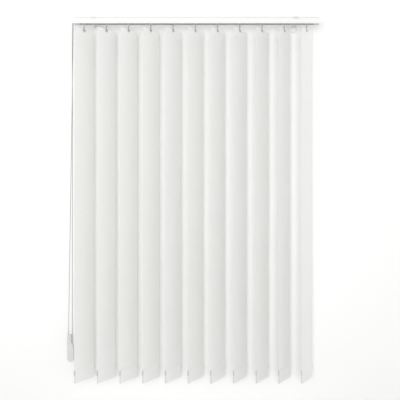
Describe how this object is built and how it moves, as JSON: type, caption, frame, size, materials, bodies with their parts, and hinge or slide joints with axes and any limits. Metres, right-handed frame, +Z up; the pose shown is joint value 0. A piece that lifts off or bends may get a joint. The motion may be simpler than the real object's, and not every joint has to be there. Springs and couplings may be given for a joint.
{
  "type": "vertical blind",
  "caption": "Vertical window blind: hanging cloth louvres on sliding, turning carriers in a wall-fixed headrail, worked by an endless cord with a weight.",
  "frame": {"origin": "centre of the four wall-fixing holes of the two brackets, on the wall plane", "axes": "+X along the headrail away from the control end, +Y into the wall, +Z up"},
  "size_m": [1.271, 0.1303, 1.8216],
  "materials": {
    "rail_paint": "satin white powder coat",
    "cap_plastic": "fine moulded white",
    "bracket_paint": "satin white powder coat",
    "clip_steel": "bright zinc",
    "rod_metal": "as drawn",
    "wheel_plastic": "smooth moulded",
    "carrier_plastic": "smooth moulded",
    "hanger_plastic": "translucent grey moulded",
    "louvre_cloth": "white slub weave",
    "weight_plastic": "grey moulded",
    "cord_braid": "white braid",
    "cord_weight_plastic": "white moulded, soft gloss"
  },
  "bodies": {
    "root": {"headrail": "rail_paint", "control_end_cap": "cap_plastic", "idle_end_cap": "cap_plastic", "bracket_left": "bracket_paint", "bracket_right": "bracket_paint", "rail_clips": "clip_steel", "clip_nuts": "clip_steel", "traverse_cord": "cord_braid", "loop_cord": "cord_braid", "weight_front_shell": "cord_weight_plastic", "weight_back_shell": "cord_weight_plastic", "carrier_01": "carrier_plastic"},
    "tilt_drive": {"tilt_rod": "rod_metal", "drive_wheel": "wheel_plastic"},
    "traverse_wheel": {"traverse_pulley": "wheel_plastic"},
    "idle_wheel": {"idle_pulley": "wheel_plastic"},
    "weight_wheel": {"weight_pulley": "wheel_plastic"},
    "blade_01": {"hanger_01": "hanger_plastic", "louvre_01": "louvre_cloth", "bottom_weight_01": "weight_plastic"},
    "carriage_02": {"carrier_02": "carrier_plastic"},
    "blade_02": {"hanger_02": "hanger_plastic", "louvre_02": "louvre_cloth", "bottom_weight_02": "weight_plastic"},
    "carriage_03": {"carrier_03": "carrier_plastic"},
    "blade_03": {"hanger_03": "hanger_plastic", "louvre_03": "louvre_cloth", "bottom_weight_03": "weight_plastic"},
    "carriage_04": {"carrier_04": "carrier_plastic"},
    "blade_04": {"hanger_04": "hanger_plastic", "louvre_04": "louvre_cloth", "bottom_weight_04": "weight_plastic"},
    "carriage_05": {"carrier_05": "carrier_plastic"},
    "blade_05": {"hanger_05": "hanger_plastic", "louvre_05": "louvre_cloth", "bottom_weight_05": "weight_plastic"},
    "carriage_06": {"carrier_06": "carrier_plastic"},
    "blade_06": {"hanger_06": "hanger_plastic", "louvre_06": "louvre_cloth", "bottom_weight_06": "weight_plastic"},
    "carriage_07": {"carrier_07": "carrier_plastic"},
    "blade_07": {"hanger_07": "hanger_plastic", "louvre_07": "louvre_cloth", "bottom_weight_07": "weight_plastic"},
    "carriage_08": {"carrier_08": "carrier_plastic"},
    "blade_08": {"hanger_08": "hanger_plastic", "louvre_08": "louvre_cloth", "bottom_weight_08": "weight_plastic"},
    "carriage_09": {"carrier_09": "carrier_plastic"},
    "blade_09": {"hanger_09": "hanger_plastic", "louvre_09": "louvre_cloth", "bottom_weight_09": "weight_plastic"},
    "carriage_10": {"carrier_10": "carrier_plastic"},
    "blade_10": {"hanger_10": "hanger_plastic", "louvre_10": "louvre_cloth", "bottom_weight_10": "weight_plastic"},
    "carriage_11": {"carrier_11": "carrier_plastic"},
    "blade_11": {"hanger_11": "hanger_plastic", "louvre_11": "louvre_cloth", "bottom_weight_11": "weight_plastic"}
  },
  "joints": [
    {"name": "tilt_01", "type": "hinge", "parent": "root", "child": "blade_01", "pos_m": [-0.5555, -0.075, -0.01], "axis": [0, 0, 1], "range_deg": [-40, 110]},
    {"name": "traverse_02", "type": "slide", "parent": "root", "child": "carriage_02", "axis": [1, 0, 0], "range_m": [-0.0896, 0]},
    {"name": "tilt_02", "type": "hinge", "parent": "carriage_02", "child": "blade_02", "pos_m": [-0.444, -0.075, -0.01], "axis": [0, 0, 1], "range_deg": [-40, 110]},
    {"name": "traverse_03", "type": "slide", "parent": "root", "child": "carriage_03", "axis": [1, 0, 0], "range_m": [-0.1791, 0]},
    {"name": "tilt_03", "type": "hinge", "parent": "carriage_03", "child": "blade_03", "pos_m": [-0.3325, -0.075, -0.01], "axis": [0, 0, 1], "range_deg": [-40, 110]},
    {"name": "traverse_04", "type": "slide", "parent": "root", "child": "carriage_04", "axis": [1, 0, 0], "range_m": [-0.2686, 0]},
    {"name": "tilt_04", "type": "hinge", "parent": "carriage_04", "child": "blade_04", "pos_m": [-0.221, -0.075, -0.01], "axis": [0, 0, 1], "range_deg": [-40, 110]},
    {"name": "traverse_05", "type": "slide", "parent": "root", "child": "carriage_05", "axis": [1, 0, 0], "range_m": [-0.3581, 0]},
    {"name": "tilt_05", "type": "hinge", "parent": "carriage_05", "child": "blade_05", "pos_m": [-0.1095, -0.075, -0.01], "axis": [0, 0, 1], "range_deg": [-40, 110]},
    {"name": "traverse_06", "type": "slide", "parent": "root", "child": "carriage_06", "axis": [1, 0, 0], "range_m": [-0.4476, 0]},
    {"name": "tilt_06", "type": "hinge", "parent": "carriage_06", "child": "blade_06", "pos_m": [0.002, -0.075, -0.01], "axis": [0, 0, 1], "range_deg": [-40, 110]},
    {"name": "traverse_07", "type": "slide", "parent": "root", "child": "carriage_07", "axis": [1, 0, 0], "range_m": [-0.5371, 0]},
    {"name": "tilt_07", "type": "hinge", "parent": "carriage_07", "child": "blade_07", "pos_m": [0.1135, -0.075, -0.01], "axis": [0, 0, 1], "range_deg": [-40, 110]},
    {"name": "traverse_08", "type": "slide", "parent": "root", "child": "carriage_08", "axis": [1, 0, 0], "range_m": [-0.6266, 0]},
    {"name": "tilt_08", "type": "hinge", "parent": "carriage_08", "child": "blade_08", "pos_m": [0.225, -0.075, -0.01], "axis": [0, 0, 1], "range_deg": [-40, 110]},
    {"name": "traverse_09", "type": "slide", "parent": "root", "child": "carriage_09", "axis": [1, 0, 0], "range_m": [-0.7161, 0]},
    {"name": "tilt_09", "type": "hinge", "parent": "carriage_09", "child": "blade_09", "pos_m": [0.3365, -0.075, -0.01], "axis": [0, 0, 1], "range_deg": [-40, 110]},
    {"name": "traverse_10", "type": "slide", "parent": "root", "child": "carriage_10", "axis": [1, 0, 0], "range_m": [-0.8056, 0]},
    {"name": "tilt_10", "type": "hinge", "parent": "carriage_10", "child": "blade_10", "pos_m": [0.448, -0.075, -0.01], "axis": [0, 0, 1], "range_deg": [-40, 110]},
    {"name": "traverse_11", "type": "slide", "parent": "root", "child": "carriage_11", "axis": [1, 0, 0], "range_m": [-0.895, 0]},
    {"name": "tilt_11", "type": "hinge", "parent": "carriage_11", "child": "blade_11", "pos_m": [0.5595, -0.075, -0.01], "axis": [0, 0, 1], "range_deg": [-40, 110]},
    {"name": "rod_spin", "type": "hinge", "parent": "root", "child": "tilt_drive", "pos_m": [-0.6125, -0.075, 0.006], "axis": [1, 0, 0], "range_deg": [-480, 1320]},
    {"name": "weight_wheel_spin", "type": "hinge", "parent": "root", "child": "weight_wheel", "pos_m": [-0.6248, -0.075, -1.651], "axis": [0, 1, 0], "range_deg": [-395, 1085]},
    {"name": "traverse_wheel_spin", "type": "hinge", "parent": "root", "child": "traverse_wheel", "pos_m": [-0.589, -0.075, 0.0125], "axis": [0, 0, 1], "range_deg": [-5699, 0]},
    {"name": "idle_wheel_spin", "type": "hinge", "parent": "root", "child": "idle_wheel", "pos_m": [0.608, -0.075, 0.0125], "axis": [0, 0, 1], "range_deg": [-5699, 0]}
  ],
  "couplings": [
    {"joint": "traverse_02", "follows": "traverse_11", "ratio": 0.1},
    {"joint": "tilt_02", "follows": "tilt_01", "ratio": 1},
    {"joint": "traverse_03", "follows": "traverse_11", "ratio": 0.2},
    {"joint": "tilt_03", "follows": "tilt_01", "ratio": 1},
    {"joint": "traverse_04", "follows": "traverse_11", "ratio": 0.3},
    {"joint": "tilt_04", "follows": "tilt_01", "ratio": 1},
    {"joint": "traverse_05", "follows": "traverse_11", "ratio": 0.4},
    {"joint": "tilt_05", "follows": "tilt_01", "ratio": 1},
    {"joint": "traverse_06", "follows": "traverse_11", "ratio": 0.5},
    {"joint": "tilt_06", "follows": "tilt_01", "ratio": 1},
    {"joint": "traverse_07", "follows": "traverse_11", "ratio": 0.6},
    {"joint": "tilt_07", "follows": "tilt_01", "ratio": 1},
    {"joint": "traverse_08", "follows": "traverse_11", "ratio": 0.7},
    {"joint": "tilt_08", "follows": "tilt_01", "ratio": 1},
    {"joint": "traverse_09", "follows": "traverse_11", "ratio": 0.8},
    {"joint": "tilt_09", "follows": "tilt_01", "ratio": 1},
    {"joint": "traverse_10", "follows": "traverse_11", "ratio": 0.9},
    {"joint": "tilt_10", "follows": "tilt_01", "ratio": 1},
    {"joint": "tilt_11", "follows": "tilt_01", "ratio": 1},
    {"joint": "rod_spin", "follows": "tilt_01", "ratio": 12},
    {"joint": "weight_wheel_spin", "follows": "tilt_01", "ratio": 9.8461},
    {"joint": "traverse_wheel_spin", "follows": "traverse_11", "rad_per_m": 111.11},
    {"joint": "idle_wheel_spin", "follows": "traverse_11", "rad_per_m": 111.11}
  ]
}
